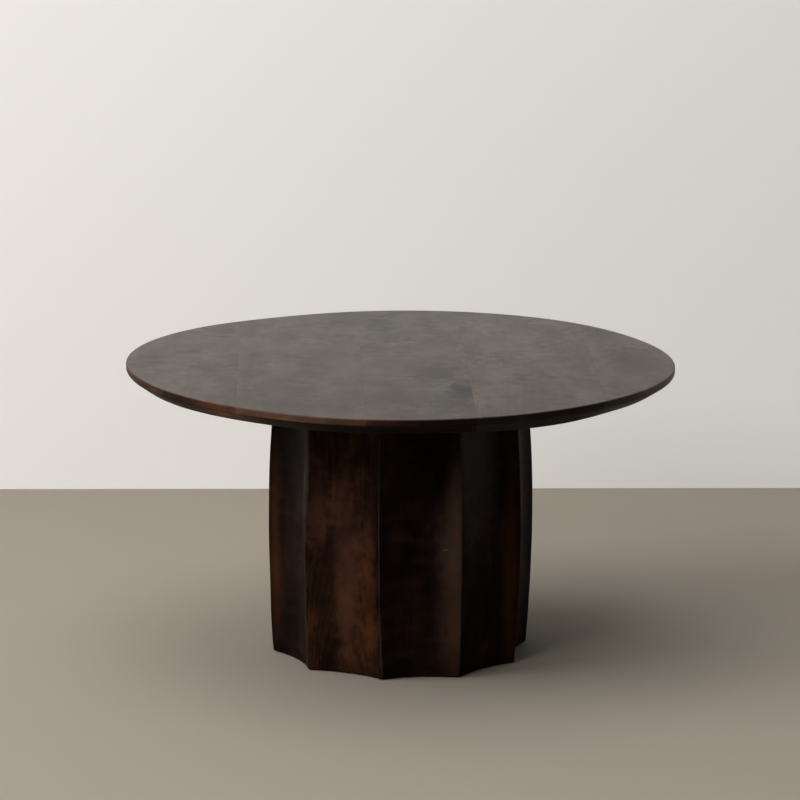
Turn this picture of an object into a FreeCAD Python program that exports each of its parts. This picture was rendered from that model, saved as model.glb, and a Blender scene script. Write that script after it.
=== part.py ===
"""Round wooden coffee table: a hand-shaped top of glued boards on a drum of ten hollowed staves.

Millimetres. The origin is on the floor under the middle of the top, +Z is up, and the boards of the
top run front to back, along Y. The front is -Y. Angles of the drum are counted from the front,
anticlockwise seen from above.
"""
import FreeCAD, Part
import math
import os
import Sketcher
from FreeCAD import Rotation, Vector

doc = FreeCAD.newDocument("drum_table")

# Driving sizes in millimetres, and angles in degrees

SIZES = {
    # The whole table
    "table_height": 430,
    "glue_gap": 0.1,
    "overrun": 30,
    # The top
    "top_radius": 400,
    "top_thickness": 25,
    "bevel_inset": 22,
    "bevel_rise": 14,
    "rim_round": 2,
    "board_angle": 1.4,
    # Loose tongues between the boards
    "tongue_thickness": 6,
    "tongue_width": 16,
    "tongue_stop": 45,
    # The drum, at its ridges before they are rounded
    "foot_radius": 187.2,
    "belly_swell": 9,
    "head_taper": 2,
    "belly_height": 205,
    "drum_angle": -9.24,
    # One stave
    "flute_depth": 10.5,
    "ridge_round": 2.5,
    "stave_depth": 51.2,
    "rebate_depth": 12,
    "spline_thickness": 4,
    "spline_width": 20,
    # Head plate and foot ring
    "plate_thickness": 22,
    "ring_thickness": 18,
    "ring_recess": 12,
    "ring_width": 48,
    # Countersunk screws
    "screw_length": 40,
    "screw_radius": 2,
    "screw_head_radius": 4.5,
    "screw_head_height": 2.5,
    "screw_tip": 5,
    "recess_depth": 1.6,
    "recess_reach": 2.4,
    "recess_width": 1,
    # Bolts, washers and inserts that hold the top
    "bolt_setback": 26,
    "bolt_radius": 4,
    "bolt_length": 35,
    "bolt_tip": 1,
    "bolt_head_flats": 13,
    "bolt_head_height": 5.3,
    "bolt_play": 1.5,
    "washer_play": 0.2,
    "washer_radius": 12,
    "washer_thickness": 2,
    "insert_radius": 6,
    "insert_length": 13,
    "insert_chamfer": 1,
    "fit_gap": 0.05,
    # Floor glides and their nails
    "glide_radius": 7,
    "glide_thickness": 1.5,
    "nail_radius": 0.9,
    "nail_head_radius": 2.2,
    "nail_head_height": 0.5,
    "nail_lift": 0.6,
    "nail_length": 14,
}
sheet = doc.addObject("Spreadsheet::Sheet", "Sizes")
for row, (name, size) in enumerate(SIZES.items(), start=1):
    sheet.set(f"A{row}", name)
    sheet.set(f"B{row}", str(size))
    sheet.setAlias(f"B{row}", name)
doc.recompute()

# Counts, and shares chosen by hand

stave_count = 10
bolt_count = 4
rim_curve_count = 4
# Rim of the top: its radius every 15 degrees from +X, as a share of top_radius
rim_radius_shares = (
    0.998, 0.991, 0.989, 1.000, 1.005, 1.003, 0.998, 0.987, 0.979, 0.996, 1.009, 1.010,
    1.002, 0.987, 0.979, 0.977, 0.981, 0.998, 1.001, 0.998, 0.996, 0.992, 0.994, 0.998,
)
# Joints between the boards: their distance from the middle as a share of top_radius
seam_shares = (-0.590, -0.142, 0.242, 0.702)

# Levels and places that follow from the sizes

pitch = 360 / stave_count
half_pitch = pitch / 2
underside = "(Sizes.table_height - Sizes.top_thickness)"
foot_level = "Sizes.glide_thickness"
plate_bottom = f"({underside} - Sizes.plate_thickness)"
ring_bottom = f"({foot_level} + Sizes.ring_recess)"
ring_top = f"({ring_bottom} + Sizes.ring_thickness)"
belly_radius = "(Sizes.foot_radius + Sizes.belly_swell)"
head_radius = "(Sizes.foot_radius - Sizes.head_taper)"
drum_inside = "(Sizes.foot_radius - Sizes.stave_depth)"
rebate_outside = f"({drum_inside} + Sizes.rebate_depth)"
ring_inside = f"({rebate_outside} - Sizes.ring_width)"
screw_circle = f"({drum_inside} + Sizes.rebate_depth / 2)"
flute_foot = f"(Sizes.foot_radius * cos({half_pitch}) - Sizes.flute_depth)"
glide_circle = f"(({rebate_outside} + {flute_foot}) / 2)"
mitre_inside = f"({rebate_outside} / cos({half_pitch}))"
spline_circle = f"(({mitre_inside} + {head_radius} - Sizes.flute_depth) / 2)"
bolt_circle = f"({drum_inside} - Sizes.bolt_setback)"
bolt_angle = f"({180 / bolt_count} + Sizes.board_angle)"
insert_top = f"({underside} + Sizes.insert_length)"
tongue_middle = f"({underside} + Sizes.top_thickness / 2)"


def value(text):
    """The number that an expression gives with the sizes in the sheet."""
    return float(sheet.evalExpression(text))


# Ways of drawing and shaping, with every size bound to the sheet

# A distance or a difference of levels, in millimetres, that counts as none
no_distance = 1e-9
level_tolerance = 1e-3

# The sketcher's own numbers for its two axes, the points of a piece of outline and the origin
Y_AXIS, X_AXIS = range(-2, 0)
START, END, CENTRE = range(1, 4)
ORIGIN_POINT = (X_AXIS, START)


def origin_feature(body, role):
    return next(item for item in body.Origin.OriginFeatures if item.Role == role)


def new_body(label, angle=None):
    """An empty body, turned about the table's axis."""
    body = doc.addObject("PartDesign::Body", label)
    body.Label = label
    body.AllowCompound = True
    if angle is not None:
        body.Placement = FreeCAD.Placement(Vector(), Rotation(Vector(0, 0, 1), value(angle)))
        body.setExpression("Placement.Rotation.Angle", angle)
    return body


def new_sketch(body, role="XY_Plane", level=None):
    sketch = body.newObject("Sketcher::SketchObject", "Sketch")
    sketch.AttachmentSupport = [(origin_feature(body, role), "")]
    sketch.MapMode = "FlatFace"
    if level is not None:
        sketch.setExpression("AttachmentOffset.Base.z", level)
    return sketch


def bind(sketch, constraint, text):
    """Add a constraint whose size follows the sheet."""
    index = sketch.addConstraint(Sketcher.Constraint(*constraint, value(text)))
    sketch.setExpression(f"Constraints[{index}]", text)


def pin_point(sketch, geometry, point, across, up):
    """Hold a point of a sketch at two written distances from the origin."""
    for kind, axis, text in (("DistanceX", Y_AXIS, across), ("DistanceY", X_AXIS, up)):
        if abs(value(text)) < no_distance:
            sketch.addConstraint(Sketcher.Constraint("PointOnObject", geometry, point, axis))
        else:
            bind(sketch, (kind, *ORIGIN_POINT, geometry, point), text)


def draw_polygon(sketch, corners):
    """A closed outline of straight lines through corners written as (across, up)."""
    places = [Vector(value(across), value(up), 0) for across, up in corners]
    first = sketch.GeometryCount
    for start, end in zip(places, places[1:] + places[:1]):
        sketch.addGeometry(Part.LineSegment(start, end))
    count = len(corners)
    for index, (across, up) in enumerate(corners):
        last = first + (index - 1) % count
        sketch.addConstraint(Sketcher.Constraint("Coincident", last, END, first + index, START))
        pin_point(sketch, first + index, START, across, up)


def draw_rectangle(sketch, left, right, low, high):
    draw_polygon(sketch, [(left, low), (right, low), (right, high), (left, high)])


def draw_circle(sketch, across, up, radius):
    centre = Vector(value(across), value(up), 0)
    circle = sketch.addGeometry(Part.Circle(centre, Vector(0, 0, 1), value(radius)))
    pin_point(sketch, circle, CENTRE, across, up)
    bind(sketch, ("Radius", circle), radius)


def add_feature(body, kind, sketch):
    feature = body.newObject(kind, kind.split("::")[1])
    feature.Profile = sketch
    body.Tip = feature
    return feature


def pad(body, sketch, height):
    feature = add_feature(body, "PartDesign::Pad", sketch)
    feature.setExpression("Length", height)
    return feature


def pocket_through(body, sketch):
    feature = add_feature(body, "PartDesign::Pocket", sketch)
    feature.Type = "ThroughAll"
    feature.SideType = "Symmetric"
    return feature


def turn(body, kind, across, profile):
    """Turn a profile of (radius, level) corners, or cut it, about an upright axis at a place on +X."""
    sketch = new_sketch(body, "XZ_Plane")
    draw_polygon(sketch, [(f"{across} + {radius}", level) for radius, level in profile])
    low = value(profile[0][1])
    high = value(profile[-1][1])
    axis = sketch.addGeometry(
        Part.LineSegment(Vector(value(across), low, 0), Vector(value(across), high, 0)), True)
    pin_point(sketch, axis, START, across, profile[0][1])
    pin_point(sketch, axis, END, across, profile[-1][1])
    feature = add_feature(body, kind, sketch)
    feature.ReferenceAxis = (sketch, ["Axis0"])
    feature.Angle = 360
    return feature


def repeat_round(body, features, count):
    """Repeat features evenly round the table's axis."""
    pattern = body.newObject("PartDesign::PolarPattern", "PolarPattern")
    pattern.Originals = features
    pattern.Axis = (origin_feature(body, "Z_Axis"), [""])
    pattern.Angle = 360
    pattern.Occurrences = count
    body.Tip = pattern


nodes = []


def keep(item, label):
    """Name a finished piece, which is written to a file of its own."""
    item.Label = label
    nodes.append(item)


def combine(kind, base, tool, label):
    """Cut a tool from a base, or keep what they share."""
    result = doc.addObject(f"Part::{kind}", label)
    result.Base = base
    result.Tool = tool
    return result


# The top: one hand-shaped round blank with a bevel under its rim, cut into boards

def rim_curves():
    """The closed rim in four lengths, moved so that its extents are centred on the table's axis."""
    radius = value("Sizes.top_radius")
    step = 360 / len(rim_radius_shares)
    turn_back = value("Sizes.board_angle")
    points = []
    for index, share in enumerate(rim_radius_shares):
        angle = math.radians(index * step)
        points.append(Vector(radius * share * math.cos(angle), radius * share * math.sin(angle), 0))
    curve = Part.BSplineCurve()
    curve.interpolate(Points=points, PeriodicFlag=True)
    curve.translate(-curve.toShape().BoundBox.Center)
    curve.rotate(FreeCAD.Placement(Vector(), Rotation(Vector(0, 0, 1), -turn_back)))
    start = curve.FirstParameter
    span = (curve.LastParameter - start) / rim_curve_count
    lengths = [curve.copy() for _ in range(rim_curve_count)]
    for index, length in enumerate(lengths):
        length.segment(start + index * span, start + (index + 1) * span)
    return lengths


def level_edges(shape, level):
    """The names of the edges that lie at one level."""
    names = []
    for index, edge in enumerate(shape.Edges, start=1):
        box = edge.BoundBox
        if abs(box.ZMin - level) + abs(box.ZMax - level) < level_tolerance:
            names.append(f"Edge{index}")
    return names


top_blank = new_body("top_blank", "Sizes.board_angle")
rim_sketch = new_sketch(top_blank, level=underside)
for rim_length in rim_curves():
    rim_sketch.addGeometry(rim_length)
slab = pad(top_blank, rim_sketch, "Sizes.top_thickness")
doc.recompute()

bevel = top_blank.newObject("PartDesign::Chamfer", "Bevel")
bevel.Base = (slab, level_edges(slab.Shape, value(underside)))
bevel.ChamferType = "Two distances"
bevel.setExpression("Size", "Sizes.bevel_rise")
bevel.setExpression("Size2", "Sizes.bevel_inset")
top_blank.Tip = bevel
doc.recompute()

rim_round = top_blank.newObject("PartDesign::Fillet", "RimRound")
rim_round.Base = (bevel, level_edges(bevel.Shape, value("Sizes.table_height")))
rim_round.setExpression("Radius", "Sizes.rim_round")
top_blank.Tip = rim_round

# Threaded inserts in the top, and the bores that they sit in

insert_bores = new_body("insert_bores", bolt_angle)
bore_radius = "(Sizes.insert_radius + Sizes.fit_gap)"
bore = turn(insert_bores, "PartDesign::Revolution", bolt_circle, [
    ("0", underside),
    (bore_radius, underside),
    (bore_radius, f"{insert_top} + Sizes.glue_gap"),
    ("0", f"{insert_top} + Sizes.glue_gap"),
])
repeat_round(insert_bores, [bore], bolt_count)


def tongue(label, seam, gap):
    """A loose tongue in the joint at a seam, or with no gap the groove for it."""
    body = new_body(label, "Sizes.board_angle")
    half_width = f"(Sizes.tongue_width / 2 - {gap})"
    half_length = f"(sqrt(Sizes.top_radius^2 - ({seam})^2) - Sizes.tongue_stop - {gap})"
    half_thickness = f"(Sizes.tongue_thickness / 2 - {gap})"
    sketch = new_sketch(body, level=f"{tongue_middle} - {half_thickness}")
    draw_rectangle(sketch, f"{seam} - {half_width}", f"{seam} + {half_width}",
                   f"-{half_length}", half_length)
    pad(body, sketch, f"2 * {half_thickness}")
    return body


seams = [f"({share} * Sizes.top_radius)" for share in seam_shares]
grooves = [tongue(f"groove_{number}", seam, "0") for number, seam in enumerate(seams, start=1)]
top_cutters = doc.addObject("Part::MultiFuse", "top_cutters")
top_cutters.Shapes = grooves + [insert_bores]

for number, seam in enumerate(seams, start=1):
    blank = tongue(f"tongue_blank_{number}", seam, "Sizes.glue_gap")
    keep(combine("Cut", blank, insert_bores, f"board_tongue_{number}"), f"board_tongue_{number}")

outside = "(Sizes.top_radius + Sizes.overrun)"
board_sides = [f"-{outside}"] + seams + [outside]
for number, (left, right) in enumerate(zip(board_sides, board_sides[1:]), start=1):
    strip = new_body(f"strip_{number}", "Sizes.board_angle")
    strip_sketch = new_sketch(strip, level=underside)
    draw_rectangle(strip_sketch, left, right, f"-{outside}", outside)
    pad(strip, strip_sketch, "Sizes.top_thickness")
    board = combine("Common", top_blank, strip, f"board_{number}")
    keep(combine("Cut", board, top_cutters, f"top_board_{number}"), f"top_board_{number}")

# Screws and nails, each drawn once as (radius, level) and turned


def screw_profile(head, way, gap="0"):
    """A countersunk screw with its head at one level, driven up or down from there."""
    return [
        ("0", head),
        (f"(Sizes.screw_head_radius + {gap})", head),
        (f"(Sizes.screw_radius + {gap})", f"{head} {way} Sizes.screw_head_height"),
        (f"(Sizes.screw_radius + {gap})", f"{head} {way} (Sizes.screw_length - Sizes.screw_tip)"),
        ("0", f"{head} {way} (Sizes.screw_length + {gap})"),
    ]


def screws(label, angle, head, way):
    """Ten screws with a cross recess, one into each stave."""
    body = new_body(label, angle)
    screw = turn(body, "PartDesign::Revolution", screw_circle, screw_profile(head, way))
    recess = new_sketch(body, level=f"{head} {way} Sizes.recess_depth")
    reach = "Sizes.recess_reach"
    half = "(Sizes.recess_width / 2)"
    arms = [(reach, half), (half, reach)]
    corners = []
    for across, up in ((1, 1), (-1, 1), (-1, -1), (1, -1)):
        here = arms if across == up else arms[::-1]
        inner = (half, half)
        for x_size, y_size in (here[0], inner, here[1]):
            corners.append((f"{screw_circle} + {across} * {x_size}", f"{up} * {y_size}"))
    draw_polygon(recess, corners)
    cross = add_feature(body, "PartDesign::Pocket", recess)
    cross.Reversed = way == "-"
    cross.setExpression("Length", "Sizes.recess_depth + Sizes.glue_gap")
    repeat_round(body, [screw, cross], stave_count)
    return body


def nail_profile(gap="0"):
    """A nail with a flat head, driven up from inside its glide."""
    head = "Sizes.nail_lift"
    neck = f"({head} + Sizes.nail_head_height + {gap})"
    return [
        ("0", head),
        (f"(Sizes.nail_head_radius + {gap})", head),
        (f"(Sizes.nail_head_radius + {gap})", neck),
        (f"(Sizes.nail_radius + {gap})", neck),
        (f"(Sizes.nail_radius + {gap})", f"{head} + Sizes.nail_length - Sizes.nail_head_radius"),
        ("0", f"{head} + Sizes.nail_length + {gap}"),
    ]


# The drum: ten staves, mitred at the ridges and hollowed outside, flat inside


def draw_stave_section(sketch, ridge_radius):
    """A level section of one stave, its middle on +X.

    The two sides lie in the mitre planes. The hollow is an arc through the sharp ridges, and each ridge
    is rounded by an arc that leaves the mitre plane square and runs into the hollow without a corner.
    """
    angle = math.radians(half_pitch)
    along, across = math.cos(angle), math.sin(angle)
    inside = value(drum_inside)
    ridge = value(ridge_radius)
    depth = value("Sizes.flute_depth")
    small = value("Sizes.ridge_round")
    large = ((ridge * across) ** 2 + depth ** 2) / (2 * depth)
    hollow_centre = ridge * along - depth + large
    small_centre = hollow_centre * along - math.sqrt((large + small) ** 2 - (hollow_centre * across) ** 2)
    tip = small_centre + small
    to_hollow = math.atan2(-small_centre * across, hollow_centre - small_centre * along)
    from_hollow = math.pi + to_hollow
    upright = Vector(0, 0, 1)

    def arc(x, y, radius, start, end):
        return Part.ArcOfCircle(Part.Circle(Vector(x, y, 0), upright, radius), start, end)

    corner = Vector(inside, inside * math.tan(angle), 0)
    mirrored = Vector(corner.x, -corner.y, 0)
    left_side, left_ridge, hollow, right_ridge, right_side, back = range(6)
    sketch.addGeometry(Part.LineSegment(corner, Vector(tip * along, tip * across, 0)))
    sketch.addGeometry(arc(small_centre * along, small_centre * across, small, to_hollow, angle))
    sketch.addGeometry(arc(hollow_centre, 0, large, from_hollow, 2 * math.pi - from_hollow))
    sketch.addGeometry(arc(small_centre * along, -small_centre * across, small, -angle, -to_hollow))
    sketch.addGeometry(Part.LineSegment(mirrored, Vector(tip * along, -tip * across, 0)))
    sketch.addGeometry(Part.LineSegment(mirrored, corner))
    sharp = sketch.addGeometry(Part.Point(Vector(ridge * along, ridge * across, 0)), True)
    lowest = sketch.addGeometry(Part.Point(Vector(ridge * along - depth, 0, 0)), True)
    for constraint in (
        ("Coincident", left_side, START, back, END),
        ("Coincident", right_side, START, back, START),
        ("Coincident", left_side, END, left_ridge, END),
        ("Coincident", right_side, END, right_ridge, START),
        ("Tangent", left_ridge, START, hollow, START),
        ("Tangent", right_ridge, END, hollow, END),
        ("Symmetric", back, START, back, END, X_AXIS),
        ("PointOnObject", *ORIGIN_POINT, left_side),
        ("PointOnObject", *ORIGIN_POINT, right_side),
        ("PointOnObject", left_ridge, CENTRE, left_side),
        ("PointOnObject", right_ridge, CENTRE, right_side),
        ("PointOnObject", hollow, CENTRE, X_AXIS),
        ("Equal", left_ridge, right_ridge),
        ("PointOnObject", sharp, START, left_side),
        ("PointOnObject", sharp, START, hollow),
        ("PointOnObject", lowest, START, X_AXIS),
        ("PointOnObject", lowest, START, hollow),
    ):
        sketch.addConstraint(Sketcher.Constraint(*constraint))
    sketch.addConstraint(Sketcher.Constraint("Angle", left_side, angle))
    bind(sketch, ("DistanceX", *ORIGIN_POINT, back, END), drum_inside)
    bind(sketch, ("Radius", left_ridge), "Sizes.ridge_round")
    bind(sketch, ("Distance", *ORIGIN_POINT, sharp, START), ridge_radius)
    bind(sketch, ("DistanceX", lowest, START, sharp, START), "Sizes.flute_depth")


def stave_angle(steps):
    """How far a stave, or at half steps a ridge, is turned from +X."""
    return f"(Sizes.drum_angle - 90 + {pitch * steps})"


def cut_spline_grooves(body):
    """Grooves in both mitred sides, square to them, for half of each spline."""
    sketch = new_sketch(body)
    near = f"({spline_circle} - Sizes.spline_thickness / 2)"
    far = f"({spline_circle} + Sizes.spline_thickness / 2)"
    reach = "(Sizes.spline_width / 2)"
    for side in (1, -1):
        corners = []
        for distance, aside in ((near, -1), (far, -1), (far, 1), (near, 1)):
            sideways = f"{aside} * {reach} * {side}"
            corners.append((
                f"{distance} * cos({half_pitch}) - {sideways} * sin({half_pitch}) * {side}",
                f"{distance} * sin({half_pitch}) * {side} + {sideways} * cos({half_pitch})",
            ))
        draw_polygon(sketch, corners)
    pocket_through(body, sketch)


for number in range(1, stave_count + 1):
    stave = new_body(f"stave_{number:02d}", stave_angle(number - 0.5))
    sections = []
    for level, radius in (
        (foot_level, "Sizes.foot_radius"),
        ("Sizes.belly_height", belly_radius),
        (underside, head_radius),
    ):
        section = new_sketch(stave, level=level)
        draw_stave_section(section, radius)
        sections.append(section)
    loft = add_feature(stave, "PartDesign::AdditiveLoft", sections[0])
    loft.Sections = sections[1:]

    rebates = new_sketch(stave, "XZ_Plane")
    past_inside = f"({drum_inside} - Sizes.overrun)"
    draw_rectangle(rebates, past_inside, rebate_outside, f"{foot_level} - Sizes.overrun", ring_top)
    draw_rectangle(rebates, past_inside, rebate_outside, plate_bottom, f"{underside} + Sizes.overrun")
    pocket_through(stave, rebates)
    cut_spline_grooves(stave)
    turn(stave, "PartDesign::Groove", screw_circle, screw_profile(underside, "-", "Sizes.fit_gap"))
    turn(stave, "PartDesign::Groove", screw_circle, screw_profile(ring_bottom, "+", "Sizes.fit_gap"))
    turn(stave, "PartDesign::Groove", glide_circle, nail_profile("Sizes.fit_gap"))
    keep(stave, stave.Label)

for number in range(1, stave_count + 1):
    spline = new_body(f"stave_spline_{number:02d}", stave_angle(number - 1))
    spline_sketch = new_sketch(spline, level=foot_level)
    half_thickness = "(Sizes.spline_thickness / 2 - Sizes.glue_gap)"
    half_width = "(Sizes.spline_width / 2 - Sizes.glue_gap)"
    near = f"{spline_circle} - {half_thickness}"
    far = f"{spline_circle} + {half_thickness}"
    draw_rectangle(spline_sketch, near, far, f"-{half_width}", half_width)
    pad(spline, spline_sketch, f"{underside} - {foot_level}")
    keep(spline, spline.Label)

# The head plate and the foot ring, ten-sided and let into rebates in the staves


def draw_ten_sides(sketch):
    apothem = f"({rebate_outside} - Sizes.glue_gap)"
    corners = []
    for number in range(stave_count):
        angle = half_pitch + pitch * number
        reach = f"{apothem} / cos({half_pitch})"
        corners.append((f"{reach} * cos({angle})", f"{reach} * sin({angle})"))
    draw_polygon(sketch, corners)


head_plate = new_body("head_plate", stave_angle(0.5))
plate_sketch = new_sketch(head_plate, level=plate_bottom)
draw_ten_sides(plate_sketch)
for number in range(bolt_count):
    hole_angle = f"({bolt_angle} + {360 / bolt_count * number} - {stave_angle(0.5)})"
    draw_circle(plate_sketch, f"{bolt_circle} * cos({hole_angle})", f"{bolt_circle} * sin({hole_angle})",
                "Sizes.bolt_radius + Sizes.bolt_play")
pad(head_plate, plate_sketch, "Sizes.plate_thickness")
plate_countersink = turn(head_plate, "PartDesign::Groove", screw_circle,
                         screw_profile(underside, "-", "Sizes.fit_gap"))
repeat_round(head_plate, [plate_countersink], stave_count)
keep(head_plate, head_plate.Label)

foot_ring = new_body("foot_ring", stave_angle(0.5))
ring_sketch = new_sketch(foot_ring, level=ring_bottom)
draw_ten_sides(ring_sketch)
draw_circle(ring_sketch, "0", "0", ring_inside)
pad(foot_ring, ring_sketch, "Sizes.ring_thickness")
ring_countersink = turn(foot_ring, "PartDesign::Groove", screw_circle,
                        screw_profile(ring_bottom, "+", "Sizes.fit_gap"))
repeat_round(foot_ring, [ring_countersink], stave_count)
keep(foot_ring, foot_ring.Label)

plate_screws = screws("plate_screws", stave_angle(0.5), underside, "-")
keep(plate_screws, plate_screws.Label)
ring_screws = screws("ring_screws", stave_angle(0.5), ring_bottom, "+")
keep(ring_screws, ring_screws.Label)

# Bolts up through the head plate, their washers, and the inserts that they screw into

head_seat = f"({plate_bottom} - Sizes.washer_thickness)"
bolt_end = f"({head_seat} + Sizes.bolt_length)"
head_corner = "(Sizes.bolt_head_flats / sqrt(3))"

top_bolts = new_body("top_bolts", bolt_angle)
head_sketch = new_sketch(top_bolts, level=f"{head_seat} - Sizes.bolt_head_height")
draw_polygon(head_sketch, [
    (f"{bolt_circle} + {head_corner} * cos({angle})", f"{head_corner} * sin({angle})")
    for angle in range(0, 360, 60)
])
bolt_head = pad(top_bolts, head_sketch, "Sizes.bolt_head_height")
bolt_shank = turn(top_bolts, "PartDesign::Revolution", bolt_circle, [
    ("0", head_seat),
    ("Sizes.bolt_radius", head_seat),
    ("Sizes.bolt_radius", f"{bolt_end} - Sizes.bolt_tip"),
    ("(Sizes.bolt_radius - Sizes.bolt_tip)", bolt_end),
    ("0", bolt_end),
])
repeat_round(top_bolts, [bolt_head, bolt_shank], bolt_count)
keep(top_bolts, top_bolts.Label)

top_washers = new_body("top_washers", bolt_angle)
washer_hole = "(Sizes.bolt_radius + Sizes.washer_play)"
washer = turn(top_washers, "PartDesign::Revolution", bolt_circle, [
    (washer_hole, head_seat),
    ("Sizes.washer_radius", head_seat),
    ("Sizes.washer_radius", plate_bottom),
    (washer_hole, plate_bottom),
])
repeat_round(top_washers, [washer], bolt_count)
keep(top_washers, top_washers.Label)

thread_inserts = new_body("thread_inserts", bolt_angle)
thread_radius = "(Sizes.bolt_radius + Sizes.fit_gap)"
insert = turn(thread_inserts, "PartDesign::Revolution", bolt_circle, [
    (thread_radius, underside),
    ("Sizes.insert_radius", underside),
    ("Sizes.insert_radius", f"{insert_top} - Sizes.insert_chamfer"),
    ("(Sizes.insert_radius - Sizes.insert_chamfer)", insert_top),
    (thread_radius, insert_top),
])
repeat_round(thread_inserts, [insert], bolt_count)
keep(thread_inserts, thread_inserts.Label)

# Floor glides, one under each stave, and the nails that hold them

glide_pads = new_body("glide_pads", stave_angle(0.5))
nail_hole = "(Sizes.nail_radius + Sizes.fit_gap)"
nail_recess = "(Sizes.nail_head_radius + Sizes.fit_gap)"
recess_top = "(Sizes.nail_lift + Sizes.nail_head_height)"
glide = turn(glide_pads, "PartDesign::Revolution", glide_circle, [
    (nail_recess, "0"),
    ("Sizes.glide_radius", "0"),
    ("Sizes.glide_radius", foot_level),
    (nail_hole, foot_level),
    (nail_hole, recess_top),
    (nail_recess, recess_top),
])
repeat_round(glide_pads, [glide], stave_count)
keep(glide_pads, glide_pads.Label)

glide_nails = new_body("glide_nails", stave_angle(0.5))
nail = turn(glide_nails, "PartDesign::Revolution", glide_circle, nail_profile())
repeat_round(glide_nails, [nail], stave_count)
keep(glide_nails, glide_nails.Label)

# Write every piece

os.makedirs("parts", exist_ok=True)
doc.recompute()
for item in doc.Objects:
    if "Invalid" in item.State or "Error" in item.State:
        raise RuntimeError(f"{item.Label} failed: {item.State}")
for node in nodes:
    if node.Shape.isNull() or not node.Shape.isValid() or not node.Shape.Solids:
        raise RuntimeError(f"{node.Label} has no sound shape")
for node in nodes:
    node.Shape.exportStep(f"parts/{node.Label}.step")
print(f"{len(nodes)} pieces written")
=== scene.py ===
"""Looks of a round coffee table: five dark boards, cut to a round by hand, on a drum of ten
hollowed staves."""

import math

import bmesh
import bpy
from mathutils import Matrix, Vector


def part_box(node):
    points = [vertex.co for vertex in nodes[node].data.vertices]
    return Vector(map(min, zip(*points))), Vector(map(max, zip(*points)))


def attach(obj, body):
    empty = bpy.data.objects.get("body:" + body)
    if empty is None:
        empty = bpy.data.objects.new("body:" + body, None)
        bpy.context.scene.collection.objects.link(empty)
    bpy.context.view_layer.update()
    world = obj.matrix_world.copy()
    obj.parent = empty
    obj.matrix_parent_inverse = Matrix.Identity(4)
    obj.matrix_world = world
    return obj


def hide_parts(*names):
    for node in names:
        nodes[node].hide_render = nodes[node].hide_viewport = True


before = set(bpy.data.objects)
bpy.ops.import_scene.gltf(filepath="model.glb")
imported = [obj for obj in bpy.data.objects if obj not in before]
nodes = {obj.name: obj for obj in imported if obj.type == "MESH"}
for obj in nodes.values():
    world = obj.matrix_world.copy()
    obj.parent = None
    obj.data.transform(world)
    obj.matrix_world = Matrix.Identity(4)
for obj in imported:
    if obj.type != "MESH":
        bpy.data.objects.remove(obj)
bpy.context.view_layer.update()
scene = bpy.context.scene
bpy.ops.object.select_all(action="DESELECT")

# Camera. It stands 6.5 m in front of the table at a standing person's eye height, and looks
# a little down through a long lens.
camera_distance = 6.551
camera_height = 1.762
camera_pitch = math.radians(78.03)
camera_roll = math.radians(-0.095)
camera_turn = math.radians(0.02)
camera_lens = 206.3
bpy.ops.object.camera_add(
    location=(0, -camera_distance, camera_height), rotation=(camera_pitch, camera_roll, camera_turn)
)
camera = bpy.context.object
camera.name = "camera"
camera.data.lens = camera_lens
scene.camera = camera
scene.view_settings.view_transform = "Standard"

# Stage. A plain floor, and a pale plastered wall a metre behind the middle of the table. Both can be
# seen from one side only, so that they hide nothing from behind or from below.
floor_colour = (0.243, 0.2115, 0.171, 1)
wall_colour = (0.83, 0.81, 0.78, 1)
wall_glow = 0.1
wall_distance = 1.035
wall_turn = math.radians(0.8)
wall_height = 5
stage_size = 30
matt = 0.9
quarter = math.radians(90)


def add_node(tree, kind, inputs=None, **settings):
    """Adds a shader node. An input is given a value or another node's output."""
    made = tree.nodes.new("ShaderNode" + kind)
    for setting, value in settings.items():
        setattr(made, setting, value)
    for socket, value in (inputs or {}).items():
        if isinstance(value, bpy.types.NodeSocket):
            tree.links.new(value, made.inputs[socket])
        else:
            made.inputs[socket].default_value = value
    return made


def calculate(tree, operation, first, second=0.0):
    """The outcome of a calculation with two values."""
    return add_node(tree, "Math", {0: first, 1: second}, operation=operation).outputs[0]


def new_material(name):
    """A material, with its node tree and its shader."""
    material = bpy.data.materials.new(name)
    material.use_nodes = True
    return material, material.node_tree, material.node_tree.nodes["Principled BSDF"]


def show_one_side(tree, shader):
    """Makes a surface clear when it is looked at from behind."""
    behind = add_node(tree, "NewGeometry").outputs["Backfacing"]
    clear = add_node(tree, "BsdfTransparent").outputs["BSDF"]
    sides = add_node(tree, "MixShader", {0: behind, 1: shader.outputs["BSDF"], 2: clear})
    tree.links.new(sides.outputs["Shader"], tree.nodes["Material Output"].inputs["Surface"])


floor_material, floor_tree, floor_shader = new_material("floor")
floor_shader.inputs["Base Color"].default_value = floor_colour
floor_shader.inputs["Roughness"].default_value = matt
show_one_side(floor_tree, floor_shader)
bpy.ops.mesh.primitive_plane_add(size=stage_size, location=(0, 0, 0))
floor = bpy.context.object
floor.name = "floor"
floor.data.materials.append(floor_material)

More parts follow.
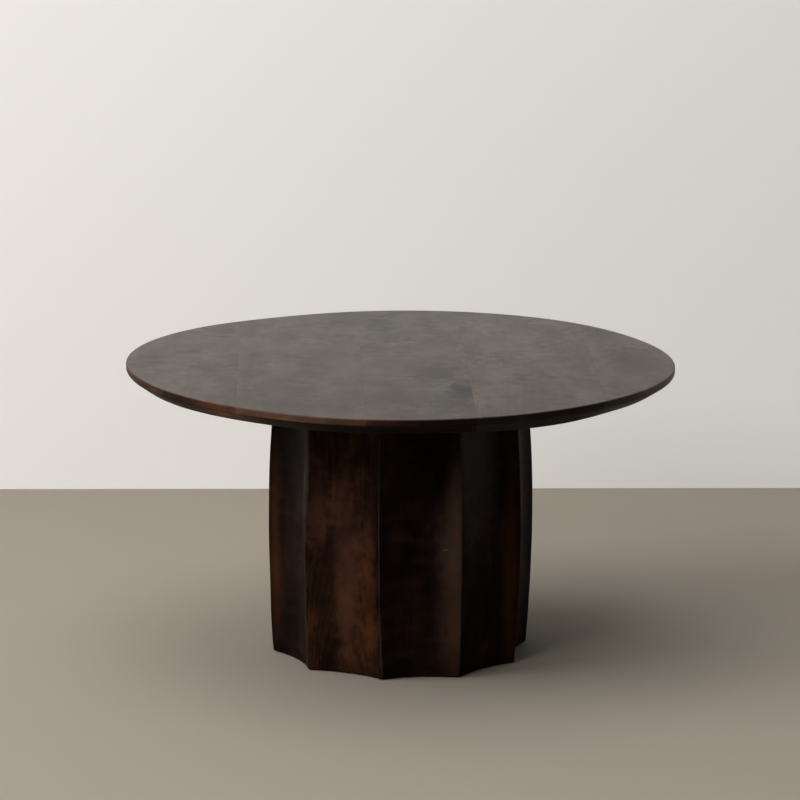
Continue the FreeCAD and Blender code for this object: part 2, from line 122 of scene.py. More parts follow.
wall_material, wall_tree, wall_shader = new_material("wall")
wall_shader.inputs["Base Color"].default_value = wall_colour
wall_shader.inputs["Emission Color"].default_value = wall_colour
wall_shader.inputs["Roughness"].default_value = matt
ray = add_node(wall_tree, "LightPath").outputs
seen = calculate(wall_tree, "MAXIMUM", ray["Is Camera Ray"], ray["Is Glossy Ray"])
seen = calculate(wall_tree, "MAXIMUM", seen, ray["Is Transmission Ray"])
glow = calculate(wall_tree, "MULTIPLY", seen, wall_glow)
wall_tree.links.new(glow, wall_shader.inputs["Emission Strength"])
show_one_side(wall_tree, wall_shader)
bpy.ops.mesh.primitive_plane_add(
    size=1, location=(0, wall_distance, wall_height / 2), rotation=(quarter, 0, wall_turn)
)
wall = bpy.context.object
wall.name = "wall"
wall.scale = (stage_size, wall_height, 1)
wall.visible_shadow = False
wall.data.materials.append(wall_material)

# Light. Three soft lights in a dim room: a large window high at the left, a smaller one at the front
# left, which throws the shadow back and gives no glare, and a wide ceiling light over the table.
window_place = Vector((-4.9, -1.4, 3.9))
window_size = 3.2
window_power = 290
side_window_place = Vector((-3.0, -4.4, 3.6))
side_window_size = 2.5
side_window_power = 145
ceiling_place = Vector((-0.3, -0.7, 5.0))
ceiling_size = 4
ceiling_power = 130
lit_place = Vector((0, 0, 0.3))
room_colour = (1, 0.98, 0.95, 1)
room_strength = 0.06
backdrop_colour = (1, 0.985, 0.96, 1)
backdrop_strength = 0.82


def soft_light(name, place, size, power):
    """Adds a square area light that faces the table, and gives it back."""
    turn = (lit_place - place).to_track_quat("-Z", "Y").to_euler()
    bpy.ops.object.light_add(type="AREA", location=place, rotation=turn)
    light = bpy.context.object
    light.name = name
    light.data.size = size
    light.data.energy = power
    return light


soft_light("window_light", window_place, window_size, window_power)
side_window = soft_light("side_window_light", side_window_place, side_window_size, side_window_power)
side_window.visible_glossy = False
soft_light("ceiling_light", ceiling_place, ceiling_size, ceiling_power)

world = bpy.data.worlds.new("room")
scene.world = world
world.use_nodes = True
world_tree = world.node_tree
world_tree.nodes.clear()
room = add_node(world_tree, "Background", {"Color": room_colour, "Strength": room_strength})
backdrop = add_node(world_tree, "Background", {"Color": backdrop_colour, "Strength": backdrop_strength})
camera_ray = add_node(world_tree, "LightPath").outputs["Is Camera Ray"]
shown = {0: camera_ray, 1: room.outputs["Background"], 2: backdrop.outputs["Background"]}
add_node(world_tree, "OutputWorld", {"Surface": add_node(world_tree, "MixShader", shown).outputs["Shader"]})

# Drum. Ten thick staves of hardwood are glued edge to edge with a spline in each joint. The outside
# swells like a barrel, and each stave is hollowed into a flute between ridges that are eased by
# hand, so that they wander by a few millimetres.
stave_count = 10
stave_angle = math.tau / stave_count
drum_turn = math.radians(-9.24)
front = -quarter
foot_radius = 0.1872
belly_radius = 0.1962
head_radius = 0.1852
belly_level = 0.205
flute_depth = 0.0105
flute_steps = 16
barrel_steps = 24
ridge_easing = 0.0021
ridge_segments = 4
wear_and_sheen_depth = 0.0009
foot_easing = 0.0016
easing_segments = 3
wall_inside = 0.136
rebate_inside = 0.148
overshoot = 0.01
hand_shift = 0.0015
# Each row: a ridge, counted from the front one, the height up to which it wanders, and how far.
wanders = (
    (0, 0.03, (0.0028, -0.001)),
    (1, 0.03, (0, -0.005)),
    (2, 0.03, (-0.0005, -0.004)),
    (3, 0.30, (0.001, 0.001)),
    (5, 0.12, (0.0022, 0.0010)),
    (6, 0.25, (-0.0016, 0.0012)),
    (8, 0.03, (-0.0026, 0.003)),
    (9, 0.03, (-0.0014, 0)),
)
wander_reach = 0.11
ridge_width = math.radians(2.5)
hand_wave = 0.0009
hand_wave_size = 0.09
merge_distance = 0.00001
near = 0.0001
foot_level, head_level = (corner.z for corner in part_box("stave_01"))
ring_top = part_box("foot_ring")[1].z
plate_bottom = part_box("head_plate")[0].z


def ridge_radius(level):
    """The barrel's radius to the sharp ridges at a level."""
    end, radius = (foot_level, foot_radius) if level < belly_level else (head_level, head_radius)
    share = (level - belly_level) / (end - belly_level)
    return belly_radius + (radius - belly_radius) * share**2


def around(radius, angle, level):
    """The point at a radius and angle about the drum's axis."""
    return Vector((radius * math.cos(angle), radius * math.sin(angle), level))


def edit(piece):
    """Opens a piece in edit mode with all of it selected."""
    bpy.ops.object.select_all(action="DESELECT")
    bpy.context.view_layer.objects.active = piece
    piece.select_set(True)
    bpy.ops.object.mode_set(mode="EDIT")
    bpy.ops.mesh.select_mode(type="VERT")
    bpy.ops.mesh.select_all(action="SELECT")


def select_edges(test):
    """Selects the edges of the open mesh whose two ends pass the test."""
    bpy.ops.mesh.select_mode(type="EDGE")
    bpy.ops.mesh.select_all(action="DESELECT")
    mesh = bpy.context.object.data
    shape = bmesh.from_edit_mesh(mesh)
    for edge in shape.edges:
        if all(test(vertex.co) for vertex in edge.verts):
            edge.select_set(True)
    bmesh.update_edit_mesh(mesh)


def bevel_selected(width, segments):
    """Rounds the selected edges."""
    bpy.ops.mesh.bevel(offset=width, segments=segments, affect="EDGES", clamp_overlap=False)


def cut_out(piece, cutter):
    """Cuts one piece's shape out of another, and removes the cutter."""
    cut = piece.modifiers.new("cut", "BOOLEAN")
    cut.operation = "DIFFERENCE"
    cut.solver = "EXACT"
    cut.object = cutter
    bpy.context.view_layer.objects.active = piece
    bpy.ops.object.modifier_apply(modifier=cut.name)
    bpy.data.objects.remove(cutter)


first_ridge = front + drum_turn
first_middle = first_ridge + stave_angle / 2
half_chord = foot_radius * math.sin(stave_angle / 2)
flute_radius = (half_chord**2 + flute_depth**2) / (2 * flute_depth)
flute_sweep = 2 * math.asin(half_chord / flute_radius)
flute_distance = foot_radius * math.cos(stave_angle / 2) - flute_depth + flute_radius

bpy.ops.object.select_all(action="DESELECT")
bpy.ops.mesh.primitive_plane_add(size=ridge_easing, location=around(foot_radius, first_ridge, foot_level))
drum = bpy.context.object
bpy.ops.object.transform_apply()
edit(drum)
bpy.ops.mesh.merge(type="CENTER")
bpy.ops.mesh.select_all(action="SELECT")
flute_centre = around(flute_distance, first_middle, foot_level)
bpy.ops.mesh.spin(steps=flute_steps, angle=flute_sweep, center=flute_centre, axis=(0, 0, 1))
bpy.ops.mesh.select_all(action="SELECT")
bpy.ops.mesh.spin(
    steps=stave_count, dupli=True, angle=math.tau, center=(0, 0, foot_level), axis=(0, 0, 1)
)
bpy.ops.mesh.select_all(action="SELECT")
bpy.ops.mesh.remove_doubles(threshold=merge_distance)
bpy.ops.mesh.select_all(action="SELECT")
rise = (head_level - foot_level) / barrel_steps
for step in range(barrel_steps):
    level = foot_level + step * rise
    swell = ridge_radius(level + rise) / ridge_radius(level)
    bpy.ops.mesh.extrude_region_move(TRANSFORM_OT_translate={"value": (0, 0, rise)})
    bpy.ops.transform.resize(value=(swell, swell, 1), center_override=(0, 0, 0))
select_edges(lambda place: place.xy.length > ridge_radius(place.z) - near)
bevel_selected(ridge_easing, ridge_segments)
for end in (foot_level, head_level):
    select_edges(lambda place: abs(place.z - end) < near)
    bpy.ops.mesh.edge_face_add()
select_edges(lambda place: abs(place.z - foot_level) < near)
bevel_selected(foot_easing, easing_segments)
bpy.ops.mesh.select_all(action="SELECT")
bpy.ops.mesh.normals_make_consistent(inside=False)
bpy.ops.object.mode_set(mode="OBJECT")

# Along each ridge a narrow band gets a lighter colour: rubbed wear with a painted highlight.
ridge_wear_and_sheen = drum.data.attributes.new("ridge_wear_and_sheen", "FLOAT", "POINT")
for index, vertex in enumerate(drum.data.vertices):
    depth = ridge_radius(vertex.co.z) - vertex.co.xy.length
    ridge_wear_and_sheen.data[index].value = 1 if depth < wear_and_sheen_depth else 0

edit(drum)
bpy.ops.transform.translate(value=(hand_shift, 0, 0))
for ridge, height, (sideways, backwards) in wanders:
    outward = around(1, first_ridge + ridge * stave_angle, 0).xy
    select_edges(
        lambda place: place.z <= height and place.xy.normalized().dot(outward) > math.cos(ridge_width)
    )
    bpy.ops.transform.translate(
        value=(sideways, backwards, 0),
        use_proportional_edit=True,
        proportional_edit_falloff="SMOOTH",
        proportional_size=wander_reach,
    )
bpy.ops.object.mode_set(mode="OBJECT")

wave_texture = bpy.data.textures.new("hand_wave", "CLOUDS")
wave_texture.noise_scale = hand_wave_size
hand_work = drum.modifiers.new("hand_work", "DISPLACE")
hand_work.texture = wave_texture
hand_work.strength = hand_wave
bpy.ops.object.modifier_apply(modifier=hand_work.name)

for inside, low, high in (
    (wall_inside, foot_level - overshoot, head_level + overshoot),
    (rebate_inside, foot_level - overshoot, ring_top),
    (rebate_inside, plate_bottom, head_level + overshoot),
):
    bpy.ops.object.select_all(action="DESELECT")
    bpy.ops.mesh.primitive_cylinder_add(
        vertices=stave_count,
        radius=inside / math.cos(stave_angle / 2),
        depth=high - low,
        location=(0, 0, (low + high) / 2),
        rotation=(0, 0, drum_turn),
    )
    cut_out(drum, bpy.context.object)

# Staves. The drum is sawn into its ten staves, of an open-grained hardwood that is soaked with a
# near-black brown stain and lacquered to a satin sheen. Rings, fibres, pores and curl are one solid
# grain that runs through each piece, so that its ends show end grain.
half_glue = 0.00005
smooth_angle = math.radians(35)
wave_per_scale = 20
ring_wobble = 0.035
ring_distortion = 0.6
noise_middle = (0.5, 0.5, 0.5)
least_smudged = 0.15
middle_depth = 0.5
blotch_sheen = 0.04
relief_depth = 0.00025
bite_scale = 70
mark_core = 0.35
# Scales of the grain's patterns, in patterns per metre across the grain and along it.
wobble_scale = (9, 1.6)
fibre_scale = (620, 9)
pore_scale = (1500, 40)
curl_scale = (17, 60)
curly_scale = (9, 5)
blotch_scale = (24, 12)
smudge_scale = (62, 55)
smudged_scale = (15, 11)
hue_scale = (13, 8)
# The part of each pattern's range over which it takes effect.
pore_range = (0.6, 0.7)
curl_range = (0.45, 0.75)
curly_range = (0.45, 0.65)
smudge_range = (0.35, 0.65)
smudged_range = (0.42, 0.6)
bite_range = (0.3, 0.7)
fibre_range = (0.3, 0.7)
blotch_range = (0.32, 0.68)
hue_range = (0.42, 0.62)
spot_range = (0.35, 0.6)
wear_and_sheen_range = (0.3, 0.65)
fibre_sheen_range = (0.25, 0.75)
blotch_sheen_range = (0.3, 0.7)


def copy_piece(piece, name):
    """A copy of a piece with its own mesh."""
    copy = bpy.data.objects.new(name, piece.data.copy())
    scene.collection.objects.link(copy)
    return copy


def saw(piece, place, direction):
    """Saws a piece by a plane and drops the part that lies in the direction."""
    edit(piece)
    bpy.ops.mesh.bisect(plane_co=place, plane_no=direction, use_fill=True, clear_outer=True)
    bpy.ops.object.mode_set(mode="OBJECT")


def merged_copy(node):
    """A copy of a CAD node with its loose triangles joined up."""
    copy = copy_piece(nodes[node], node + "_copy")
    edit(copy)
    bpy.ops.mesh.remove_doubles(threshold=merge_distance)
    bpy.ops.object.mode_set(mode="OBJECT")
    return copy


def finish_piece(piece, name, replaced):
    """Smooths a finished piece, and puts it in the frame in a CAD node's place."""
    bpy.ops.object.select_all(action="DESELECT")
    bpy.context.view_layer.objects.active = piece
    piece.select_set(True)
    piece.name = name
    bpy.ops.object.shade_smooth_by_angle(angle=smooth_angle)
    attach(piece, "root")
    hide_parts(replaced)


def calculate_vector(tree, operation, first, second):
    """The outcome of a calculation with two vectors."""
    return add_node(tree, "VectorMath", {0: first, 1: second}, operation=operation).outputs[0]


def stretch(tree, vector, scale):
    """A vector scaled across the grain and along it. The grain is Z."""
    across, along = scale
    return calculate_vector(tree, "MULTIPLY", vector, (across, across, along))


def noise(tree, vector, scale=1.0, detail=2.0, output="Fac"):
    """A soft random pattern."""
    settings = {"Vector": vector, "Scale": scale, "Detail": detail}
    return add_node(tree, "TexNoise", settings).outputs[output]


def grain_noise(tree, vector, scale, detail=2.0, output="Fac"):
    """A soft random pattern that is drawn out along the grain."""
    return noise(tree, stretch(tree, vector, scale), detail=detail, output=output)


def remap(tree, value, low, high, to_low=0.0, to_high=1.0):
    """A value carried from one range to another, and kept inside it."""
    ranges = {"Value": value, "From Min": low, "From Max": high, "To Min": to_low, "To Max": to_high}
    return add_node(tree, "MapRange", ranges).outputs[0]


def add_up(tree, total, *values):
    """The sum of some values."""
    for value in values:
        total = calculate(tree, "ADD", total, value)
    return total


def mix(tree, factor, first, second):
    """A mix of two colours."""
    return add_node(tree, "Mix", {0: factor, 6: first, 7: second}, data_type="RGBA").outputs[2]


def own_place(tree):
    """Where a point of the piece lies in the frame."""
    return add_node(tree, "TexCoord").outputs["Object"]


def engrave(tree, shader, strength, depth, height):
    """Gives a surface a fine relief."""
    bump = add_node(tree, "Bump", {"Strength": strength, "Distance": depth, "Height": height})
    tree.links.new(bump.outputs["Normal"], shader.inputs["Normal"])


def new_group(name, inputs, outputs):
    """A shader node group with named sockets. Gives the group, what comes in and what goes out."""
    group = bpy.data.node_groups.new(name, "ShaderNodeTree")
    for socket, kind in inputs.items():
        group.interface.new_socket(socket, in_out="INPUT", socket_type="NodeSocket" + kind)
    for socket, kind in outputs.items():
        group.interface.new_socket(socket, in_out="OUTPUT", socket_type="NodeSocket" + kind)
    return group, group.nodes.new("NodeGroupInput").outputs, group.nodes.new("NodeGroupOutput").inputs


def use_group(tree, group, inputs):
    """Places a node group in a material and gives its outputs."""
    placed = tree.nodes.new("ShaderNodeGroup")
    placed.node_tree = group
    for socket, value in inputs.items():
        if isinstance(value, bpy.types.NodeSocket):
            tree.links.new(value, placed.inputs[socket])
        else:
            placed.inputs[socket].default_value = value
    return placed.outputs


timber, come, go = new_group(
    "timber",
    {"Vector": "Vector", "Ring Spacing": "Float"},
    dict.fromkeys(("Rings", "Fibres", "Pores", "Curl", "Blotches", "Hue", "Smudges"), "Float"),
)
place = come["Vector"]
wobble = grain_noise(timber, place, wobble_scale, output="Color")
wobble = calculate_vector(timber, "SUBTRACT", wobble, noise_middle)
wobble = stretch(timber, wobble, (ring_wobble, ring_wobble))
bent = calculate_vector(timber, "ADD", place, wobble)
ring_scale = calculate(timber, "DIVIDE", math.tau / wave_per_scale, come["Ring Spacing"])
rings = add_node(
    timber,
    "TexWave",
    {"Vector": bent, "Scale": ring_scale, "Distortion": ring_distortion, "Detail": 1.0},
    wave_type="RINGS",
    rings_direction="Z",
    wave_profile="SAW",
).outputs["Fac"]
pores = remap(timber, grain_noise(timber, bent, pore_scale, detail=0), *pore_range)
curl = remap(timber, grain_noise(timber, bent, curl_scale, detail=1), *curl_range)
curly = remap(timber, grain_noise(timber, place, curly_scale), *curly_range)
smudges = remap(timber, grain_noise(timber, place, smudge_scale, detail=3), *smudge_range, -1, 1)
smudged = remap(timber, grain_noise(timber, place, smudged_scale), *smudged_range, least_smudged, 1)
timber.links.new(rings, go["Rings"])
timber.links.new(grain_noise(timber, bent, fibre_scale, detail=3), go["Fibres"])
timber.links.new(pores, go["Pores"])
timber.links.new(calculate(timber, "MULTIPLY", curl, curly), go["Curl"])
timber.links.new(grain_noise(timber, bent, blotch_scale, detail=4), go["Blotches"])
timber.links.new(grain_noise(timber, place, hue_scale, detail=1), go["Hue"])
timber.links.new(calculate(timber, "MULTIPLY", smudges, smudged), go["Smudges"])

mark, come, go = new_group(
    "mark",
    {"Vector": "Vector", "Centre": "Vector", "Size": "Vector", "Raggedness": "Float"},
    {"Mask": "Float"},
)
offset = calculate_vector(mark, "SUBTRACT", come["Vector"], come["Centre"])
offset = calculate_vector(mark, "DIVIDE", offset, come["Size"])
bites = remap(mark, noise(mark, come["Vector"], scale=bite_scale, detail=3), *bite_range, -1, 1)
bites = calculate(mark, "MULTIPLY", bites, come["Raggedness"])
reach = add_node(mark, "VectorMath", {0: offset}, operation="LENGTH").outputs["Value"]
mark.links.new(remap(mark, add_up(mark, reach, bites), mark_core, 1.0, 1, 0), go["Mask"])


def stained_wood(name, turn, shift, finish, tone=0.0, wear_and_sheen_mask=None, marks=(), painted_shade_mask=None):
    """Dark-stained wood. The turn and shift carry the piece's place to a tree that grows along Z."""
    material, tree, shader = new_material(name)
    place = own_place(tree)
    along = add_node(tree, "Mapping", {"Vector": place, "Rotation": turn, "Location": shift}).outputs[0]
    grain = use_group(tree, timber, {"Vector": along, "Ring Spacing": finish["ring_spacing"]})
    rings = calculate(tree, "MULTIPLY", grain["Rings"], finish["rings"])
    fibres = remap(tree, grain["Fibres"], *fibre_range, 0, finish["fibres"])
    blotches = remap(tree, grain["Blotches"], *blotch_range, tone, finish["blotches"] + tone)
    smudges = calculate(tree, "MULTIPLY", grain["Smudges"], finish["smudges"])
    depth = add_up(tree, rings, fibres, blotches, smudges)
    colour = mix(tree, remap(tree, depth, 0, middle_depth), finish["dark"], finish["middle"])
    colour = mix(tree, remap(tree, depth, middle_depth, 1), colour, finish["light"])
    hue = remap(tree, grain["Hue"], *hue_range, 0, finish["hue"])
    colour = mix(tree, hue, colour, finish["tint"])
    dulled = calculate(tree, "MULTIPLY", grain["Curl"], finish["curl"])
    colour = mix(tree, dulled, colour, finish["light"])
    colour = mix(tree, calculate(tree, "MULTIPLY", grain["Pores"], finish["pores"]), colour, finish["dark"])
    for centre, size, strength, shade, raggedness in marks:
        shape = {"Vector": place, "Centre": centre, "Size": size, "Raggedness": raggedness}
        # The more ragged a mark is, the more it fades where the blotches are thin.
        least = strength * (1 - 2 * raggedness)
        patchy = remap(tree, grain["Blotches"], *spot_range, least, strength)
        spot = calculate(tree, "MULTIPLY", use_group(tree, mark, shape)["Mask"], patchy)
        colour = mix(tree, spot, colour, finish[shade])
        dulled = calculate(tree, "MAXIMUM", dulled, spot)
    # Painted shade: the colour darkens towards the dark stain where the mask says.
    if painted_shade_mask:
        colour = mix(tree, painted_shade_mask(tree), colour, finish["dark"])
    # Wear with a painted highlight and sheen: the colour lightens where the mask says.
    if wear_and_sheen_mask:
        wear_and_sheen = remap(tree, grain["Fibres"], *wear_and_sheen_range, 0, finish["wear_and_sheen"])
        wear_and_sheen = calculate(tree, "MULTIPLY", wear_and_sheen_mask(tree), wear_and_sheen)
        colour = mix(tree, wear_and_sheen, colour, finish["wear_and_sheen_colour"])
    tree.links.new(colour, shader.inputs["Base Color"])
    smoothest = finish["roughness"] - finish["sheen"]
    roughest = finish["roughness"] + finish["sheen"]
    sheen = add_up(
        tree,
        remap(tree, grain["Fibres"], *fibre_sheen_range, smoothest, roughest),
        calculate(tree, "MULTIPLY", grain["Pores"], finish["sheen"]),
        remap(tree, grain["Blotches"], *blotch_sheen_range, blotch_sheen, -blotch_sheen),
        calculate(tree, "MULTIPLY", grain["Smudges"], -finish["smears"]),
        calculate(tree, "MULTIPLY", dulled, finish["dulling"]),
    )
    tree.links.new(sheen, shader.inputs["Roughness"])
    shader.inputs["Specular IOR Level"].default_value = finish["specular"]
    relief = calculate(tree, "SUBTRACT", grain["Fibres"], grain["Pores"])
    engrave(tree, shader, finish["relief"], relief_depth, relief)
    return material


def ridge_mask(tree):
    """Where the ridges are rubbed, and where a highlight is painted along them."""
    return add_node(tree, "Attribute", attribute_name="ridge_wear_and_sheen").outputs["Fac"]


# Colours of the stain and of painted sheen, and how strongly each pattern shows in colour and sheen.
drum_finish = {
    "dark": (0.003, 0.0017, 0.0014, 1),
    "middle": (0.0115, 0.0052, 0.0032, 1),
    "light": (0.060, 0.0235, 0.0095, 1),
    "tint": (0.0088, 0.0038, 0.0036, 1),
    "cloud": (0.055, 0.0225, 0.0135, 1),
    "streak": (0.052, 0.0175, 0.0048, 1),
    "painted_sheen": (0.058, 0.050, 0.047, 1),
    "pale_brown": (0.078, 0.045, 0.031, 1),
    # A pale colour for a small nick, and for a painted highlight along one ridge.
    "nick_and_highlight": (0.09, 0.078, 0.068, 1),
    # The lighter colour of rubbed ridges, with a painted highlight.
    "wear_and_sheen_colour": (0.045, 0.029, 0.021, 1),
    "ring_spacing": 0.0052,
    "rings": 0.18,
    "fibres": 0.16,
    "blotches": 0.55,
    "smudges": 0.08,
    "smears": 0.0,
    "hue": 0.4,
    "curl": 0.3,
    "pores": 0.4,
    "wear_and_sheen": 0.7,
    "roughness": 0.48,
    "sheen": 0.06,
    "dulling": 0.0,
    "specular": 0.02,
    "relief": 0.22,
}
bare_finish = dict(
    drum_finish,
    dark=(0.10, 0.056, 0.032, 1),
    middle=(0.19, 0.115, 0.066, 1),
    light=(0.29, 0.19, 0.115, 1),
    tint=(0.17, 0.11, 0.07, 1),
    roughness=0.7,
    specular=0.3,
)
pith_depths = (0.05, 0.09, 0.07, 0.12, 0.06, 0.10, 0.08, 0.05, 0.11, 0.075)
pith_leans = (2.2, -1.4, 1.8, -2.0, 1.2, -1.7, 2.4, -1.1, 1.6, -2.3)
pith_sides = (0.012, -0.02, 0.006, 0.018, -0.014, 0.009, -0.008, 0.016, -0.01, 0.004)
stave_tones = (-0.13, -0.1, 0.0, 0.03, 0.1, 0.0, 0.12, 0.06, -0.17, 0.1)
soft = 0.1
ragged = 0.35
# Each mark: its middle, its reach each way, its strength, its colour and how ragged its edge is.
stave_marks = {
    1: (
        # A paler brown near the ridge with stave 2, in three overlapping marks.
        ((0.085, -0.172, 0.27), (0.022, 0.04, 0.09), 0.5, "pale_brown", soft),
        ((0.08, -0.172, 0.21), (0.036, 0.04, 0.1), 0.42, "pale_brown", soft),
        ((0.08, -0.172, 0.12), (0.034, 0.04, 0.16), 0.35, "pale_brown", soft),
        ((0.064, -0.175, 0.19), (0.006, 0.01, 0.0014), 1.0, "nick_and_highlight", ragged),
    ),
    2: (
        # A painted grey sheen on the upper left of stave 2.
        ((0.11, -0.145, 0.34), (0.05, 0.06, 0.2), 0.7, "painted_sheen", soft),
        ((0.16, -0.1, 0.13), (0.016, 0.03, 0.19), 0.55, "streak", soft),
    ),
    5: (((0.06, 0.17, 0.2), (0.03, 0.03, 0.12), 0.5, "cloud", ragged),),
    7: (((-0.12, 0.13, 0.12), (0.03, 0.03, 0.1), 0.6, "streak", ragged),),
    9: (
        ((-0.183, -0.05, 0.16), (0.011, 0.03, 0.2), 0.55, "streak", soft),
        # A painted highlight along the ridge between staves 9 and 10.
        ((-0.1346, -0.135, 0.32), (0.006, 0.006, 0.17), 0.75, "nick_and_highlight", soft),
    ),
    10: (
        # A painted highlight along the ridge between staves 9 and 10.
        ((-0.1346, -0.135, 0.32), (0.006, 0.006, 0.17), 0.75, "nick_and_highlight", soft),
        ((-0.12, -0.145, 0.25), (0.025, 0.03, 0.09), 0.8, "cloud", ragged),
        ((-0.078, -0.16, 0.18), (0.03, 0.04, 0.19), 0.75, "cloud", ragged),
        ((-0.11, -0.15, 0.1), (0.026, 0.04, 0.13), 0.45, "middle", soft),
        ((-0.043, -0.178, 0.13), (0.011, 0.03, 0.16), 0.8, "streak", ragged),
    ),
}
stave_face = 0.175
stave_shift = 1.7
foot_tilt = -0.5
for number in range(1, stave_count + 1):
    node = f"stave_{number:02d}"
    low_angle = first_ridge + (number - 1) * stave_angle
    high_angle = low_angle + stave_angle
    stave = copy_piece(drum, "dressed_" + node)
    saw(stave, around(half_glue, low_angle + quarter, 0), around(1, low_angle - quarter, 0))
    saw(stave, around(half_glue, high_angle - quarter, 0), around(1, high_angle + quarter, 0))
    for joint in (number, number % stave_count + 1):
        cut_out(stave, merged_copy(f"stave_spline_{joint:02d}"))
    turned = quarter - (low_angle + high_angle) / 2
    lean = math.radians(pith_leans[number - 1])
    turn = (lean * math.cos(turned), -lean * math.sin(turned), turned)
    shift = (pith_sides[number - 1], pith_depths[number - 1] - stave_face, number * stave_shift)
    tone = stave_tones[number - 1]
    marks = stave_marks.get(number, ())
    stave.data.materials.clear()
    stave.data.materials.append(
        stained_wood(f"stained_stave_{number}", turn, shift, drum_finish, tone, ridge_mask, marks)
    )
    stave.data.materials.append(stained_wood(f"bare_stave_{number}", turn, shift, bare_finish, tone))
    middle = around(1, (low_angle + high_angle) / 2, 0)
    for face in stave.data.polygons:
        inward = face.center.dot(middle) < rebate_inside and face.normal.z > foot_tilt
        face.material_index = 1 if inward and face.center.xy.length < stave_face - flute_depth else 0
    finish_piece(stave, "dressed_" + node, node)
bpy.data.objects.remove(drum)

# Splines. Straight strips of pale beech, glued into grooves in the edges of the staves, so that
# the joints line up and hold. Only their ends show, at the foot.
beech = {"dark": (0.30, 0.185, 0.11, 1), "light": (0.50, 0.345, 0.225, 1)}
planed = {
    "shift": (0.06, 0.09, 0),
    "ring_spacing": 0.004,
    "rings": 0.35,
    "fibres": 0.4,
    "blotches": 0.25,
    "pores": 0.3,
    "smoothest": 0.62,
    "roughest": 0.8,
    "relief": 0.3,
    "relief_depth": 0.0002,
}
planed_range = (0.3, 0.7)
planed_sheen_range = (0.2, 0.8)


def pale_wood(name, turn, colours):
    """Planed wood with no finish."""
    material, tree, shader = new_material(name)
    turned_place = {"Vector": own_place(tree), "Rotation": turn, "Location": planed["shift"]}
    along = add_node(tree, "Mapping", turned_place).outputs[0]
    grain = use_group(tree, timber, {"Vector": along, "Ring Spacing": planed["ring_spacing"]})
    rings = calculate(tree, "MULTIPLY", grain["Rings"], planed["rings"])
    fibres = remap(tree, grain["Fibres"], *planed_range, 0, planed["fibres"])
    blotches = remap(tree, grain["Blotches"], *planed_range, 0, planed["blotches"])
    colour = mix(tree, add_up(tree, rings, fibres, blotches), colours["light"], colours["dark"])
    flecks = calculate(tree, "MULTIPLY", grain["Pores"], planed["pores"])
    colour = mix(tree, flecks, colour, colours["dark"])
    tree.links.new(colour, shader.inputs["Base Color"])
    sheen = remap(tree, grain["Fibres"], *planed_sheen_range, planed["smoothest"], planed["roughest"])
    tree.links.new(sheen, shader.inputs["Roughness"])
    relief = calculate(tree, "SUBTRACT", grain["Fibres"], grain["Pores"])
    engrave(tree, shader, planed["relief"], planed["relief_depth"], relief)
    return material, tree, shader, colour


def coat(material, *names):
    """Gives CAD nodes their material."""
    for name in names:
        nodes[name].material_slots[0].material = material


spline_wood = pale_wood("spline_beech", (0, 0, 0), beech)[0]
coat(spline_wood, *(f"stave_spline_{number:02d}" for number in range(1, stave_count + 1)))

# Foot ring and head plate. Both are cut from birch ply: they drop into rebates at the two ends of
# the staves, and hold the drum round. The layers show on their edges.
ply_colours = {"dark": (0.36, 0.25, 0.15, 1), "light": (0.56, 0.43, 0.29, 1)}
ply_glue = (0.17, 0.10, 0.055, 1)
ply_layer = 0.0028
ply_waviness = 0.15
ply_edge_range = (0.3, 0.6)
ply_layer_range = (0.45, 0.55)
ply_glue_range = (0.94, 0.99)


def upward(tree):
    """How far a surface faces up: 1 where it is level, 0 where it is plumb, -1 on an underside."""
    facing = add_node(tree, "NewGeometry").outputs["Normal"]
    return add_node(tree, "SeparateXYZ", {0: facing}).outputs["Z"]


ply_wood, tree, shader, veneer = pale_wood("birch_ply", (0, quarter, 0), ply_colours)
layer_scale = math.tau / wave_per_scale / ply_layer / 2
layers = add_node(
    tree,
    "TexWave",
    {"Vector": own_place(tree), "Scale": layer_scale, "Distortion": ply_waviness},
    wave_type="BANDS",
    bands_direction="Z",
).outputs["Fac"]
edge = remap(tree, calculate(tree, "ABSOLUTE", upward(tree)), *ply_edge_range, 1, 0)
layered = mix(tree, remap(tree, layers, *ply_layer_range), veneer, ply_colours["dark"])
layered = mix(tree, remap(tree, layers, *ply_glue_range), layered, ply_glue)
tree.links.new(mix(tree, edge, veneer, layered), shader.inputs["Base Color"])
coat(ply_wood, "foot_ring", "head_plate")

# Screws. Ten countersunk wood screws go up through the ring and ten down through the plate into
# the staves. They are of zinc-plated steel, a little yellow and finely scratched.
zinc = (0.60, 0.575, 0.51, 1)
zinc_yellow = (0.62, 0.55, 0.38, 1)
zinc_dull = (0.36, 0.35, 0.33, 1)
zinc_roughness = 0.34
zinc_scale = 60
cloud_range = (0.4, 0.65)
dull_range = (0.58, 0.75)
dull_strength = 0.7
dull_fineness = 4
metal_sheen_range = (0.3, 0.75)
polish = 0.08
tarnish = 0.15
scratch_fineness = (30, 2)
scratch_relief = 0.2
scratch_depth = 0.00008


def worn_metal(name, colour, tint, dull, roughness, scale):
    """Bright metal with a cloudy tint, duller spots and fine scratches."""
    material, tree, shader = new_material(name)
    place = own_place(tree)
    clouds = noise(tree, place, scale=scale, detail=3)
    spots = noise(tree, place, scale=scale * dull_fineness, detail=4)
    scratch_scale = [scale * fineness for fineness in scratch_fineness]
    base = mix(tree, remap(tree, clouds, *cloud_range), colour, tint)
    base = mix(tree, remap(tree, spots, *dull_range, 0, dull_strength), base, dull)
    tree.links.new(base, shader.inputs["Base Color"])
    rough = remap(tree, spots, *metal_sheen_range, roughness - polish, roughness + tarnish)
    tree.links.new(rough, shader.inputs["Roughness"])
    shader.inputs["Metallic"].default_value = 1
    engrave(tree, shader, scratch_relief, scratch_depth, grain_noise(tree, place, scratch_scale))
    return material


